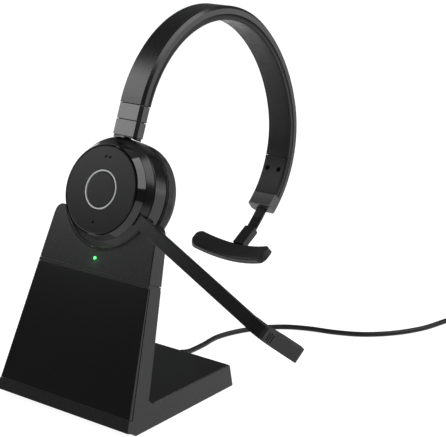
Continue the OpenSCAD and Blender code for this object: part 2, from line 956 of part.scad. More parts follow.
// curved plate between the radii ra and rb, with round corners
module temple_curve(ra, rb, c) {
    half_a = asin(pad_hw / pad_r);
    translate([pad_x, -pad_r, -pad_h])
        difference() {
            rotate([0, 0, 90 - half_a])
                rotate_extrude(angle = 2 * half_a, $fn = 160)
                    polygon([[ra + c, 0], [rb - 0.3, 0], [rb, 0.3], [rb, pad_h - 0.3], [rb - 0.3, pad_h],
                        [ra + c, pad_h], [ra, pad_h - c], [ra, c]]);
            for (s = [-1, 1])
                for (z = [0, pad_h])
                    rotate([0, 0, s * -half_a])
                        translate([s * -corner_r, 0, z])
                            corner_cut(s, z > 0 ? -1 : 1);
        }
}

module corner_cut(s, d) {
    difference() {
        bar([s > 0 ? 0 : -9, pad_r - 4, d > 0 ? -1 : -corner_r],
            [s > 0 ? 9 : 0, pad_r + 12, d > 0 ? corner_r : 1]);
        translate([0, pad_r - 5, d * corner_r])
            rotate([-90, 0, 0])
                cylinder(r = corner_r, h = 18, $fn = 32);
    }
}

module temple_stem() {
    color([0.07, 0.07, 0.075])
        difference() {
            on_temple()
                union() {
                    bar([-stem_hw, -0.4, 0.05], [stem_hw, pad_t + back_t, stem_l]);
                    bar([-stem_hw, pad_t + 0.2, -3], [stem_hw, pad_t + back_t - 0.3, 1]);
                    temple_curve(pad_r + pad_t, pad_r + pad_t + back_t, 0.3);
                }
            on_cup()
                bow(arm_c, arm_r - arm_t / 2 - fit, arm_r + arm_t / 2 + fit, 3.65, arm_a - 16.8, arm_a - 8, 0, 0);
        }
}

module temple_pad() {
    color([0.08, 0.08, 0.08])
        on_temple()
            temple_curve(pad_r, pad_r + pad_t, 0.8);
}

stand_shell();
stand_front_panel();
stand_seam_trim();
stand_head();
stand_base_plate();
stand_foot_mat();
stand_base_weight();
stand_screws();
stand_pcb();
stand_led_lens();
dock_cradle();
dock_pins();
cord_boot();
usb_cord();
usb_cord_coil();
coil_tie();
usb_plug_body();
usb_plug_shell();
earcup_housing();
earcup_bezel();
volume_cover();
call_button();
led_ring();
tact_switch();
main_pcb();
battery_cell();
charge_contacts();
usb_port();
power_slide();
speaker_baffle();
speaker_frame();
speaker_cone();
speaker_magnet();
speaker_cloth();
cushion_carrier();
ear_cushion();
boom_ring();
boom_arm();
boom_tip();
mic_capsule();
mic_mesh();
pivot_stem();
slider_block();
slider_strip();
band_end_cap();
headband_shell();
headband_spring();
headband_pad();
band_far_cover();
band_screws();
band_far_cap();
temple_arm();
temple_stem();
temple_pad();
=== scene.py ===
"""Looks of a mono office headset docked on its leaning charging stand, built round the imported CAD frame.

Metres, +Z up, the frame's own origin. The cup frame has x across, a towards the ear and u up along the slab.
"""

import json
import math

import bmesh
import bpy
import numpy as np
from mathutils import Matrix, Vector


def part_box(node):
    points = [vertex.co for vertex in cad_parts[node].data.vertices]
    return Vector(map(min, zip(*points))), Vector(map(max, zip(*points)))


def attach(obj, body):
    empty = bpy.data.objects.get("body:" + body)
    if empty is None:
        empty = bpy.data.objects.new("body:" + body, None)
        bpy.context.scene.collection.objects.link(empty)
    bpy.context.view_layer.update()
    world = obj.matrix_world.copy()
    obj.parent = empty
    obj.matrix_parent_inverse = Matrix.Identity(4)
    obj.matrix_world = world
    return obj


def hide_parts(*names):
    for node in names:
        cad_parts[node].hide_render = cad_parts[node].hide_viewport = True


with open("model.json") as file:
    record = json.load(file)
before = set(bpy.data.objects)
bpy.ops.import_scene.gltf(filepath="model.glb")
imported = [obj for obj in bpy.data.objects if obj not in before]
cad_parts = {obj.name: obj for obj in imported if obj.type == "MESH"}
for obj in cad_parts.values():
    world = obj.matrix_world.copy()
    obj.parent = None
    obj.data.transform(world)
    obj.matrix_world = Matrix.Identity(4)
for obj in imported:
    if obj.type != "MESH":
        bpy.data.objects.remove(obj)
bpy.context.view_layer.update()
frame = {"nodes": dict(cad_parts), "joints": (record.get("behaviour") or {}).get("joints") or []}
NODES = frame["nodes"]
JOINTS = {joint["name"]: joint for joint in frame["joints"]}
MM = 0.001

# ---------- places taken from the frame ----------
ACROSS = Vector((1, 0, 0))
EAR = Vector(JOINTS["call_press"]["axis"]).normalized()
SLAB_UP = Vector(JOINTS["headset_lift"]["axis"]).normalized()
CUP = Vector(JOINTS["boom_swivel"]["pos_m"])


def cup_point(x, a, u):
    """A point of the cup frame, in millimetres, as a point of the row frame."""
    return CUP + (ACROSS * x + EAR * a + SLAB_UP * u) * MM


# ---------- camera ----------
AZIMUTH = math.radians(37.7)
ELEVATION = math.radians(16.94)
AIM = Vector((0.0488, 0.0346, 0.1023))
DISTANCE = 0.7728
LENS = 113.3
SENSOR = 36


def make_camera():
    """The photo's view: a long lens, a little above the headset and to its right."""
    data = bpy.data.cameras.new("camera")
    data.sensor_width = SENSOR
    data.sensor_fit = "HORIZONTAL"
    data.lens = LENS
    data.clip_start = 0.01
    data.clip_end = 50
    camera = bpy.data.objects.new("camera", data)
    level = math.cos(ELEVATION)
    back = Vector((math.sin(AZIMUTH) * level, -math.cos(AZIMUTH) * level, math.sin(ELEVATION)))
    camera.location = AIM + back * DISTANCE
    camera.rotation_mode = "QUATERNION"
    camera.rotation_quaternion = (-back).to_track_quat("-Z", "Y")
    bpy.context.scene.collection.objects.link(camera)
    bpy.context.scene.camera = camera


# ---------- materials ----------
# where the two ends of a colour ramp sit, on a noise that stays near the middle of its range
RAMP_START = 0.35
RAMP_END = 0.65
# scale of the faint changes of shade and gloss in moulded plastic, each about 0.7 mm across
SHADE_SCALE = 1500
# a wave texture repeats every 0.314 metres at scale 1
WAVE_PITCH = 0.314


class Shader:
    """One node material on a Principled shader, with short helpers for its parts."""

    def __init__(self, name, roughness, metallic=0.0, specular=0.35):
        self.material = bpy.data.materials.new(name)
        self.material.use_nodes = True
        self.tree = self.material.node_tree
        self.bsdf = self.tree.nodes["Principled BSDF"]
        self.bsdf.inputs["Roughness"].default_value = roughness
        self.bsdf.inputs["Metallic"].default_value = metallic
        self.bsdf.inputs["Specular IOR Level"].default_value = specular
        self.place = self.tree.nodes.new("ShaderNodeTexCoord").outputs["Object"]

    def node(self, kind, **values):
        made = self.tree.nodes.new(kind)
        for key, value in values.items():
            made.inputs[key.replace("_", " ")].default_value = value
        return made

    def link(self, source, target):
        self.tree.links.new(source, target)

    def noise(self, scale, detail=3.0, stretch=None):
        """A noise of that scale, drawn out along the axes whose stretch is under 1."""
        made = self.node("ShaderNodeTexNoise", Scale=scale, Detail=detail)
        self.link(self.stretched(stretch), made.inputs["Vector"])
        return made.outputs["Fac"]

    def cells(self, scale, feature="F1", stretch=None):
        made = self.node("ShaderNodeTexVoronoi", Scale=scale)
        made.feature = feature
        self.link(self.stretched(stretch), made.inputs["Vector"])
        return made.outputs["Distance"]

    def stretched(self, factors):
        if factors is None:
            return self.place
        mapping = self.tree.nodes.new("ShaderNodeMapping")
        mapping.inputs["Scale"].default_value = factors
        self.link(self.place, mapping.inputs["Vector"])
        return mapping.outputs["Vector"]

    def between(self, source, low, high, start=0.3, end=0.7):
        """The source from start to end, mapped to low to high."""
        made = self.node("ShaderNodeMapRange")
        made.inputs["From Min"].default_value = start
        made.inputs["From Max"].default_value = end
        made.inputs["To Min"].default_value = low
        made.inputs["To Max"].default_value = high
        self.link(source, made.inputs["Value"])
        return made.outputs["Result"]

    def rough(self, source, low, high):
        self.link(self.between(source, low, high), self.bsdf.inputs["Roughness"])

    def colour(self, source, dark, light):
        ramp = self.tree.nodes.new("ShaderNodeValToRGB")
        ramp.color_ramp.elements[0].color = (*dark, 1)
        ramp.color_ramp.elements[0].position = RAMP_START
        ramp.color_ramp.elements[1].color = (*light, 1)
        ramp.color_ramp.elements[1].position = RAMP_END
        self.link(source, ramp.inputs["Fac"])
        self.link(ramp.outputs["Color"], self.bsdf.inputs["Base Color"])

    def bump(self, *heights):
        """Stacks (source, depth in metres) heights into the normal."""
        last = None
        for source, depth in heights:
            made = self.node("ShaderNodeBump", Strength=1.0, Distance=depth)
            self.link(source, made.inputs["Height"])
            if last is not None:
                self.link(last, made.inputs["Normal"])
            last = made.outputs["Normal"]
        self.link(last, self.bsdf.inputs["Normal"])


def grey(value):
    """A grey with the faint blue of black plastic."""
    return (value, value, value * 1.03)


def moulded(name, value, roughness, depth, spread=0.02, specular=0.35, grain=2600):
    """Moulded black plastic: a fine spark-eroded grain with faint changes of gloss and shade."""
    s = Shader(name, roughness, specular=specular)
    s.colour(s.noise(SHADE_SCALE), grey(value * 0.9), grey(value * 1.1))
    s.rough(s.noise(SHADE_SCALE), roughness - spread, roughness + spread)
    s.bump((s.noise(grain, 2.0), depth), (s.cells(grain * 0.45), depth * 0.6))
    return s.material


def polished(name, value):
    """Polished black plastic with the faint waviness of a moulded gloss part."""
    s = Shader(name, 0.05, specular=0.5)
    s.colour(s.noise(30, 2.0), grey(value * 0.8), grey(value * 1.2))
    s.rough(s.noise(260, 4.0), 0.03, 0.07)
    s.bump((s.noise(140, 1.0), 0.000004))
    return s.material


def rubber(name, value, roughness, depth=0.00002, grain=1900):
    """Matte rubber or foam skin with a soft sheen."""
    s = Shader(name, roughness, specular=0.18)
    s.bsdf.inputs["Sheen Weight"].default_value = 0.03
    s.bsdf.inputs["Sheen Roughness"].default_value = 0.5
    s.colour(s.noise(70, 3.0), grey(value * 0.85), grey(value * 1.15))
    s.rough(s.noise(220, 3.0), roughness - 0.07, roughness + 0.07)
    s.bump((s.noise(grain, 4.0), depth), (s.noise(160, 2.0), depth * 2))
    return s.material


def leatherette(name):
    """Fine-grained leatherette: pebbled cells, creases between them and worn, glossier crowns."""
    s = Shader(name, 0.45, specular=0.28)
    pebbles = s.cells(1050)
    creases = s.cells(620, "DISTANCE_TO_EDGE")
    s.colour(s.noise(240, 5.0), grey(0.007), grey(0.022))
    s.rough(pebbles, 0.36, 0.58)
    s.bump((pebbles, 0.00007), (s.between(creases, 0, 1, 0.0, 0.16), 0.00006),
           (s.noise(130, 3.0), 0.00015))
    return s.material


def metal(name, colour, roughness, stretch=(1, 1, 1), depth=0.000006):
    """Metal with drawn or brushed lines along the stretched axis."""
    s = Shader(name, roughness, metallic=1.0)
    lines = s.noise(1500, 4.0, stretch)
    s.colour(lines, tuple(c * 0.82 for c in colour), colour)
    s.rough(lines, roughness * 0.7, roughness * 1.3)
    s.bump((lines, depth))
    return s.material


def circuit_board(name):
    """Green solder mask over raised copper tracks."""
    s = Shader(name, 0.3, specular=0.5)
    tracks = s.cells(420, "DISTANCE_TO_EDGE", (1, 0.3, 1))
    s.colour(s.between(tracks, 0, 1, 0.02, 0.1), (0.004, 0.06, 0.02), (0.012, 0.16, 0.06))
    s.rough(s.noise(600), 0.22, 0.4)
    s.bump((s.between(tracks, 1, 0, 0.02, 0.1), 0.00003))
    return s.material


def woven(name, value, pitch):
    """Fine woven cloth: two crossed sets of threads of the given pitch in metres."""
    s = Shader(name, 0.8, specular=0.2)
    s.bsdf.inputs["Sheen Weight"].default_value = 0.25
    threads = []
    for direction in ("X", "Z"):
        wave = s.node("ShaderNodeTexWave", Scale=WAVE_PITCH / pitch, Distortion=0.6)
        wave.bands_direction = direction
        s.link(s.place, wave.inputs["Vector"])
        threads.append(wave.outputs["Fac"])
    s.colour(threads[0], grey(value * 0.6), grey(value * 1.4))
    s.rough(threads[1], 0.7, 0.9)
    s.bump((threads[0], pitch * 0.2), (threads[1], pitch * 0.2))
    return s.material


def light_guide(name, colour, strength, roughness=0.35):
    """A frosted light guide, faintly uneven along its length."""
    s = Shader(name, roughness, specular=0.5)
    cloud = s.noise(90, 3.0)
    s.colour(cloud, tuple(c * 0.85 for c in colour), colour)
    s.rough(s.noise(400), roughness - 0.08, roughness + 0.08)
    s.bump((s.noise(2400), 0.000008))
    s.bsdf.inputs["Emission Color"].default_value = (*colour, 1)
    s.bsdf.inputs["Emission Strength"].default_value = strength
    return s.material


def make_materials():
    """Every look of the object by its short name; bump depths are in metres."""
    return {
        "stand": moulded("stand_moulding", 0.005, 0.28, 0.000001, spread=0.01, specular=0.36),
        "panel": moulded("panel_moulding", 0.003, 0.2, 0.000004, specular=0.31),
        "satin": moulded("satin_moulding", 0.003, 0.2, 0.000003, specular=0.36),
        "block": moulded("block_moulding", 0.010, 0.14, 0.000002, specular=0.6),
        "cap": moulded("cap_moulding", 0.02, 0.35, 0.000004, specular=0.5),
        "cover": moulded("cover_moulding", 0.008, 0.4, 0.000006, specular=0.15),
        "boom": moulded("boom_moulding", 0.004, 0.2, 0.000002, specular=0.4),
        "soft": moulded("soft_touch", 0.003, 0.25, 0.000003, specular=0.19),
        "band": moulded("band_moulding", 0.005, 0.26, 0.000004, specular=0.42),
        "gloss": polished("gloss_bezel", 0.003),
        "leather": leatherette("leatherette"),
        "stem": moulded("stem_moulding", 0.006, 0.3, 0.000005, specular=0.3),
        "pad": rubber("pad_skin", 0.007, 0.4),
        "foot": rubber("foot_rubber", 0.03, 0.75, 0.00004, 900),
        "jacket": rubber("lead_jacket", 0.010, 0.34, 0.00001),
        "cloth": woven("acoustic_cloth", 0.03, 0.0006),
        "mesh": woven("microphone_mesh", 0.002, 0.0004),
        "strap": rubber("tie_rubber", 0.02, 0.6, 0.00003, 1200),
        "steel": metal("bright_steel", (0.62, 0.62, 0.64), 0.28, (0.08, 1, 1)),
        "arm": metal("black_steel", (0.03, 0.03, 0.032), 0.26, (0.05, 1, 1)),
        "insert": moulded("plug_insert", 0.01, 0.4, 0.00001),
        "gold": metal("gold_plate", (0.85, 0.62, 0.26), 0.22),
        # painted shade: the gold of the dock pins and charge contacts darkened to a dull brown, so that they
        # show no glint in the cradle
        "contact": metal("shaded_gold", (0.12, 0.085, 0.035), 0.5),
        "foil": metal("cell_foil", (0.6, 0.61, 0.63), 0.4, (1, 1, 0.2)),
        "ballast": metal("ballast_iron", (0.22, 0.22, 0.23), 0.6, depth=0.00003),
        "board": circuit_board("solder_mask"),
        "ring": light_guide("ring_light_guide", (0.42, 0.43, 0.44), 0.05),
        "lens": light_guide("status_lens", (0.2, 0.8, 0.32), 0.25),
        # painted shade: a near-black matte for the touch marks' floors and the band screws, standing in for
        # the shade in their recesses
        "recess_shade": moulded("painted_recess_shade", 0.002, 0.7, 0.00001, specular=0.1),
    }


MATERIALS = make_materials()

NODE_LOOKS = {
    "stand_shell": "stand", "stand_front_panel": "panel", "stand_seam_trim": "stand", "stand_head": "stand",
    "stand_base_plate": "stand", "stand_foot_mat": "foot", "stand_base_weight": "ballast",
    "stand_screws": "steel", "stand_pcb": "board", "stand_led_lens": "lens", "dock_cradle": "satin",
    "dock_pins": "contact", "cord_boot": "jacket", "usb_plug_body": "jacket", "usb_plug_shell": "steel",
    "earcup_housing": "satin", "earcup_bezel": "gloss", "volume_cover": "soft", "call_button": "soft",
    "led_ring": "ring", "tact_switch": "steel", "main_pcb": "board", "battery_cell": "foil",
    "charge_contacts": "contact", "usb_port": "steel", "power_slide": "satin", "speaker_baffle": "satin",
    "speaker_frame": "satin", "speaker_cone": "cloth", "speaker_magnet": "steel", "speaker_cloth": "cloth",
    "cushion_carrier": "satin", "boom_ring": "satin", "boom_arm": "boom", "boom_tip": "boom",
    "mic_capsule": "steel", "mic_mesh": "mesh", "pivot_stem": "arm", "slider_block": "block",
    "slider_strip": "arm", "band_end_cap": "block", "headband_shell": "band", "headband_spring": "steel",
    # the band screws take the painted recess shade
    "band_far_cover": "cover", "band_screws": "recess_shade", "band_far_cap": "cap", "temple_arm": "arm",
    "temple_stem": "stem", "usb_cord": "jacket", "usb_cord_coil": "jacket", "coil_tie": "strap",
    "headband_pad": "pad", "ear_cushion": "leather", "temple_pad": "pad",
}

# radius in millimetres of the edges of each node whose edges show
EDGES = {
    "stand_shell": 0.35, "stand_front_panel": 0.2, "stand_seam_trim": 0.1, "stand_head": 0.35,
    "stand_base_plate": 0.2, "stand_foot_mat": 0.3, "dock_cradle": 0.2, "usb_plug_body": 0.8,
    "earcup_housing": 0.15, "volume_cover": 0.12, "call_button": 0.12, "boom_ring": 0.15,
    "boom_arm": 0.45, "boom_tip": 0.1, "slider_block": 0.2, "band_end_cap": 0.2, "headband_shell": 0.15,
    "band_far_cover": 0.15, "band_far_cap": 0.2, "temple_arm": 0.15, "temple_stem": 0.3, "slider_strip": 0.2,
}
EDGE_STEPS = 2
EDGE_ANGLE = math.radians(32)
WELD_GAP = 0.002
NORMAL_WEIGHT = 80

# nodes of long flat faces, shaded flat so that no gradient runs along them
FLAT_SIDED = ("boom_arm", "slider_strip", "stand_front_panel", "stand_seam_trim", "usb_plug_body")


def finish_node(name, look):
    """Gives a CAD node its material, and its showing edges a small radius."""
    node = NODES[name]
    node.data.materials.clear()
    node.data.materials.append(MATERIALS[look])
    width = EDGES.get(name)
    if width is None:
        return
    weld = node.modifiers.new("weld", "WELD")
    weld.merge_threshold = WELD_GAP * MM
    bevel = node.modifiers.new("edge", "BEVEL")
    bevel.width = width * MM
    bevel.segments = EDGE_STEPS
    bevel.limit_method = "ANGLE"
    bevel.angle_limit = EDGE_ANGLE
    bevel.miter_outer = "MITER_ARC"
    if name in FLAT_SIDED:
        for face in node.data.polygons:
            face.use_smooth = False
        return
    normals = node.modifiers.new("normals", "WEIGHTED_NORMAL")
    normals.weight = NORMAL_WEIGHT
    normals.keep_sharp = True


# ---------- floor and light ----------
FLOOR_GLOW = 0.93
FLOOR_RADIUS = 8.0
FLOOR_DROP = 0.0002
WORLD_STRENGTH = 0.15
LIT_POINT = Vector((0.03, 0.05, 0.1))
# name, direction from the lit point, distance, (across, up) in metres and radiance of each softbox
SOFTBOXES = (
    ("overhead", (0.0, 0.25, 1.0), 1.9, (2.2, 2.0), 0.28),
    ("right_box", (0.613, 0.248, 0.75), 1.3, (1.35, 1.27), 3.4),
    ("front_box", (0.3, -0.95, 0.09), 1.5, (0.7, 0.4), 1.8),
    ("rim_box", (0.7, 0.7, 0.12), 1.4, (0.9, 0.6), 1.5),
    ("left_box", (-0.767, -0.425, 0.52), 1.5, (1.1, 0.75), 4.0),
)
GLOW_ENERGY = 0.003
GLOW_AHEAD = 3


def make_floor():
    """The white sweep under and behind the object, which glows a little so that it stays white."""
    bm = bmesh.new()
    bmesh.ops.create_circle(bm, cap_ends=True, radius=FLOOR_RADIUS, segments=96)
    floor = new_object("floor", bm)
    s = Shader("floor_paint", 0.6, specular=0.15)
    s.colour(s.noise(3, 2.0), (0.26, 0.26, 0.26), (0.30, 0.30, 0.30))
    s.rough(s.noise(40, 2.0), 0.55, 0.65)
    s.bsdf.inputs["Emission Color"].default_value = (1, 1, 1, 1)
    s.bsdf.inputs["Emission Strength"].default_value = FLOOR_GLOW
    floor.data.materials.append(s.material)
    floor.location.z = -FLOOR_DROP


def softbox(name, direction, distance, size, strength):
    """A rectangular softbox that faces the object."""
    data = bpy.data.lights.new(name, "AREA")
    data.shape = "RECTANGLE"
    data.size, data.size_y = size
    data.energy = strength * math.pi * size[0] * size[1]
    light = bpy.data.objects.new(name, data)
    way = Vector(direction).normalized()
    light.location = LIT_POINT + way * distance
    light.rotation_mode = "QUATERNION"
    light.rotation_quaternion = (-way).to_track_quat("-Z", "Y")
    light.visible_camera = False
    bpy.context.scene.collection.objects.link(light)


def make_lights():
    """A dim studio world and the softboxes."""
    world = bpy.data.worlds.new("studio")
    world.use_nodes = True
    world.node_tree.nodes["Background"].inputs["Color"].default_value = (0.8, 0.82, 0.85, 1)
    world.node_tree.nodes["Background"].inputs["Strength"].default_value = WORLD_STRENGTH
    bpy.context.scene.world = world
    for row in SOFTBOXES:
        softbox(*row)


def make_status_glow():
    """The green light's spill on the head around it."""
    glow = bpy.data.lights.new("status_glow", "POINT")
    glow.color = (0.1, 1.0, 0.2)
    glow.energy = GLOW_ENERGY
    glow.shadow_soft_size = 0.001
    light = bpy.data.objects.new("status_glow", glow)
    light.visible_glossy = False
    low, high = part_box("stand_led_lens")
    middle = (low + high) / 2
    light.location = Vector((middle.x, low.y, middle.z)) - EAR * GLOW_AHEAD * MM
    bpy.context.scene.collection.objects.link(light)


# ---------- mesh helpers ----------
def new_object(name, bm, look=None, smooth=True):
    """Makes an object of the bmesh, with its faces turned outwards."""
    mesh = bpy.data.meshes.new(name)
    bmesh.ops.recalc_face_normals(bm, faces=bm.faces[:])
    bm.to_mesh(mesh)
    bm.free()
    for face in mesh.polygons:
        face.use_smooth = smooth
    made = bpy.data.objects.new(name, mesh)
    bpy.context.scene.collection.objects.link(made)
    if look is not None:
        mesh.materials.append(MATERIALS[look])
    return made


def loft(name, rows, look, closed_rounds=False, caps=False):
    """Skins closed rows of points; the last row joins the first if closed_rounds."""
    bm = bmesh.new()
    grid = [[bm.verts.new(point) for point in row] for row in rows]
    count = len(rows[0])
    steps = len(rows) if closed_rounds else len(rows) - 1
    for i in range(steps):
        a, b = grid[i], grid[(i + 1) % len(rows)]
        for k in range(count):
            bm.faces.new((a[k], a[(k + 1) % count], b[(k + 1) % count], b[k]))
    if caps:
        bm.faces.new(grid[0])
        bm.faces.new(list(reversed(grid[-1])))
    return new_object(name, bm, look)


def ring_of(count):
    """That many angles in radians, evenly round a circle."""
    return np.linspace(0, 2 * math.pi, count, endpoint=False)


def add_subdivision(obj):
    modifier = obj.modifiers.new("subdivision", "SUBSURF")
    modifier.levels = 1
    modifier.render_levels = 1


def apply_modifiers(obj):
    """Bakes an object's modifiers into its mesh."""
    shown = obj.evaluated_get(bpy.context.evaluated_depsgraph_get())
    mesh = bpy.data.meshes.new_from_object(shown)
    obj.modifiers.clear()
    obj.data = mesh


def ride_as(obj, body, slot_name, *nodes):
    """Puts a piece on its body, in place of any nodes given; slot_name is not used."""
    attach(obj, body)
    if nodes:
        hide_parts(*nodes)


# ---------- lead ----------
# the whole lead's length in metres; the rest in millimetres, as in the lead's own solids
CORD_D = 3.2
LIE = CORD_D / 2
CURVE_STEPS = 6
ROUTE = [
    (0, 53.8, 3.6), (0, 56.5, 3.6), (0, 61, 2.4), (0, 66.5, LIE), (0, 78, LIE), (-1, 93, LIE), (3, 108, LIE),
    (11, 122, LIE), (22, 133, LIE), (36, 140, LIE), (53, 145, LIE), (69, 153, LIE), (83, 167, LIE),
    (93, 185, LIE), (98, 205, LIE), (101, 218, LIE), (106, 231, LIE),
]
COIL_C = (135, 245)
COIL_R = 19.2
COIL_HALF = 4.0
COIL_LAYERS = 4
TURNS_PER_LAYER = 2.5
POINTS_PER_TURN = 36
CLIMB_TURNS = 0.3


def coil_point(turn):
    """Centre of the lead after that many turns: it winds in and out, and climbs a layer at each change."""
    layer = min(int(turn / TURNS_PER_LAYER), COIL_LAYERS - 1)
    along = turn / TURNS_PER_LAYER - layer
    inward = along if layer % 2 == 0 else 1 - along
    radius = COIL_R + COIL_HALF - 2 * COIL_HALF * inward
    height = LIE
    for change in range(1, COIL_LAYERS):
        climb = min(max((turn - change * TURNS_PER_LAYER) / CLIMB_TURNS + 0.5, 0), 1)
        height += CORD_D * climb * climb * (3 - 2 * climb)
    angle = math.radians(180 - 360 * turn)
    return (COIL_C[0] + radius * math.cos(angle), COIL_C[1] + radius * math.sin(angle), height)


def tail_points():
    """From the top of the coil up and over it into the back of the plug."""
    top = coil_point(COIL_LAYERS * TURNS_PER_LAYER)[2]
    low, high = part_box("usb_plug_body")
    middle = (low + high) / 2 / MM
    cx, cy = COIL_C
    return [(cx - 22.5, cy + 6, top + 0.6), (cx - 24.5, cy + 12.5, top + 2.4), (cx - 22, cy + 17, top + 4.2),
            (cx - 18, cy + 15, middle.z), (low.x / MM + 1.0, middle.y, middle.z)]


def curve_through(points):
    """Catmull-Rom curve through the points, as the lead's own solid has it."""
    made = []
    last = len(points) - 1
    for i in range(last):
        a, b = Vector(points[max(i - 1, 0)]), Vector(points[i])
        c, d = Vector(points[i + 1]), Vector(points[min(i + 2, last)])
        for k in range(CURVE_STEPS):
            t = k / CURVE_STEPS
            made.append(0.5 * (2 * b + (c - a) * t + (2 * a - 5 * b + 4 * c - d) * t * t
                               + (3 * b - a - 3 * c + d) * t * t * t))
    made.append(Vector(points[-1]))
    return made


def make_lead():
    """The lead from the stand to its plug as one round curve, with its laid, coiled and last stretches."""
    turns = COIL_LAYERS * TURNS_PER_LAYER
    wound = [Vector(coil_point(k / POINTS_PER_TURN)) for k in range(int(turns * POINTS_PER_TURN) + 1)]
    laid = curve_through(ROUTE + [tuple(wound[0])])
    over = curve_through([tuple(wound[-1])] + tail_points())
    path = laid[:-1] + wound + over[1:]
    data = bpy.data.curves.new("lead", "CURVE")
    data.dimensions = "3D"
    data.bevel_depth = CORD_D / 2 * MM
    data.bevel_resolution = 4
    data.use_fill_caps = True
    spline = data.splines.new("POLY")
    spline.points.add(len(path) - 1)
    for point, place in zip(spline.points, path):
        point.co = (*(place * MM), 1)
    spline.use_smooth = True
    lead = bpy.data.objects.new("lead", data)
    bpy.context.scene.collection.objects.link(lead)
    data.materials.append(MATERIALS["jacket"])
    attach(lead, "stand")
    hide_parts("usb_cord", "usb_cord_coil")
    tie = make_tie()


TIE_HALF = 5
TIE_SKIN = 0.75
TIE_T = 0.6
TIE_TURN = math.radians(-60)
TIE_SQUARE = 0.4
TIE_NIP = 0.03
TIE_LIFT = 0.1


def make_tie():
    """A soft rubber tie wrapped once round the bundle, with rounded corners and edges drawn in a little."""
    half_r = COIL_HALF + LIE + TIE_SKIN
    half_z = COIL_LAYERS * CORD_D / 2
    rows = []
    for across in np.linspace(-TIE_HALF, TIE_HALF, 9):
        edge = 1 - TIE_NIP * (abs(across) / TIE_HALF) ** 8
        row = []
        for angle in ring_of(48):
            out, up = (math.copysign(abs(f) ** TIE_SQUARE, f) for f in (math.cos(angle), math.sin(angle)))
            z = half_z + up * (half_z + TIE_SKIN - TIE_LIFT) * edge
            row.append((COIL_R + out * half_r * edge, across, max(z, TIE_LIFT)))
        rows.append(row)
    middle = Vector((*COIL_C, 0)) * MM
    place = Matrix.Translation(middle) @ Matrix.Rotation(TIE_TURN, 4, "Z")
    rows = [[place @ (Vector(p) * MM) for p in row] for row in rows]
    tie = loft("tie_band", rows, "strap")
    shell = tie.modifiers.new("skin", "SOLIDIFY")
    shell.thickness = TIE_T * MM
    shell.offset = -1
    apply_modifiers(tie)
    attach(tie, "stand")
    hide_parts("coil_tie")
    return tie


# (distance along, radius) of the boot's neck, which sits in the housing's wall
BOOT_NECK = ((0, 2.4), (2.7, 2.4), (2.98, 2.6))
BOOT_START = 3.0
BOOT_END = 14.0
BOOT_R = 2.85
BOOT_TAPER = 1.1
RIBS_START = 5.0
RIBS_END = 12.5
RIB_PITCH = 1.5
RIB_DEPTH = 0.28


def boot_radius(along):
    """Radius of the boot's sleeve at that distance along it."""
    past = max(along - RIBS_START, 0)
    groove = 0.0
    if RIBS_START < along < RIBS_END:
        groove = RIB_DEPTH * (0.5 - 0.5 * math.cos(2 * math.pi * past / RIB_PITCH))
    return BOOT_R - BOOT_TAPER * past / (BOOT_END - RIBS_START) - groove


def make_boot():
    """The lead's strain relief: a neck in the housing's wall and a tapered sleeve with flex ribs."""
    low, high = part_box("cord_boot")
    start = Vector(((low.x + high.x) / 2, low.y, (low.z + high.z) / 2))
    outline = list(BOOT_NECK) + [(y, boot_radius(y)) for y in np.linspace(BOOT_START, BOOT_END, 89)]
    rows = [[start + Vector((r * math.cos(t), y, r * math.sin(t))) * MM for t in ring_of(40)]
            for y, r in outline]
    boot = loft("lead_boot", rows, "jacket", caps=True)
    ride_as(boot, "stand", "lead_jacket", "cord_boot")


PLUG_EDGE = 0.12
TONGUE = ((-11, -0.6), (-5.4, 5.4), (0.05, 1.75))
CONTACT_YS = (-3.5, -1.1, 1.1, 3.5)
CONTACT_HALF = 0.5
CONTACT_X = (-9.5, -1.4)
CONTACT_Z = (-0.13, 0.07)
RIDGES = 5
RIDGE_START = -31
RIDGE_PITCH = 2
RIDGE_HALF = 5.5
RIDGE_Z = 3.9
RIDGE_SUNK = 0.25
RIDGE_PROUD = 0.35


def plug_box(name, spans, look, slot_name):
    """A small box of the plug, from its x, y and z spans in millimetres about the middle of its mouth."""
    low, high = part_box("usb_plug_shell")
    mouth = Vector((high.x, (low.y + high.y) / 2, (low.z + high.z) / 2))
    bm = bmesh.new()
    bmesh.ops.create_cube(bm, size=1)
    for vert in bm.verts:
        place = [start + (f + 0.5) * (end - start) for f, (start, end) in zip(vert.co, spans)]
        vert.co = mouth + Vector(place) * MM
    made = new_object(name, bm, look, smooth=False)
    edge = made.modifiers.new("edge", "BEVEL")
    edge.width = PLUG_EDGE * MM
    edge.segments = EDGE_STEPS
    ride_as(made, "stand", slot_name)


def make_plug_details():
    """Tongue and four gilt contacts in the USB-A shell, and grip ridges on both faces of its body."""
    plug_box("plug_tongue", TONGUE, "insert", "lead_jacket")
    for k, y in enumerate(CONTACT_YS):
        spans = (CONTACT_X, (y - CONTACT_HALF, y + CONTACT_HALF), CONTACT_Z)
        plug_box(f"plug_contact_{k}", spans, "gold", "contact_gold")
    for k in range(RIDGES):
        start = RIDGE_START + k * RIDGE_PITCH
        for side in (-1, 1):
            face = side * RIDGE_Z
            spans = ((start, start + RIDGE_PITCH / 2), (-RIDGE_HALF, RIDGE_HALF),
                     (face - RIDGE_SUNK, face + RIDGE_PROUD * max(side, 0)))
            plug_box(f"plug_ridge_{k}_{side + 1}", spans, "jacket", "lead_jacket")


# ---------- ear cushion ----------
# millimetres in the cup frame; the cushion's solid has the same four limits
CUSHION_BASE = 21.0
CUSHION_TOP = 32.0
CUSHION_OUT = 31.0
CUSHION_IN = 14.5
CUSHION_ROUND = 120
SEWN_DEPTH = 1.2
SWELL_FRAMES = 20
SWELL_CAP = 0.9
GATHER_DEPTH = 0.16
GATHER_REACH = 6.5
GATHER_START = 0.5
GATHER_MIDDLE = 23
PIPING_R = 30.25
PIPING_A = 21.75
PIPING_BEAD = 0.42
PIPING_STITCHES = 80


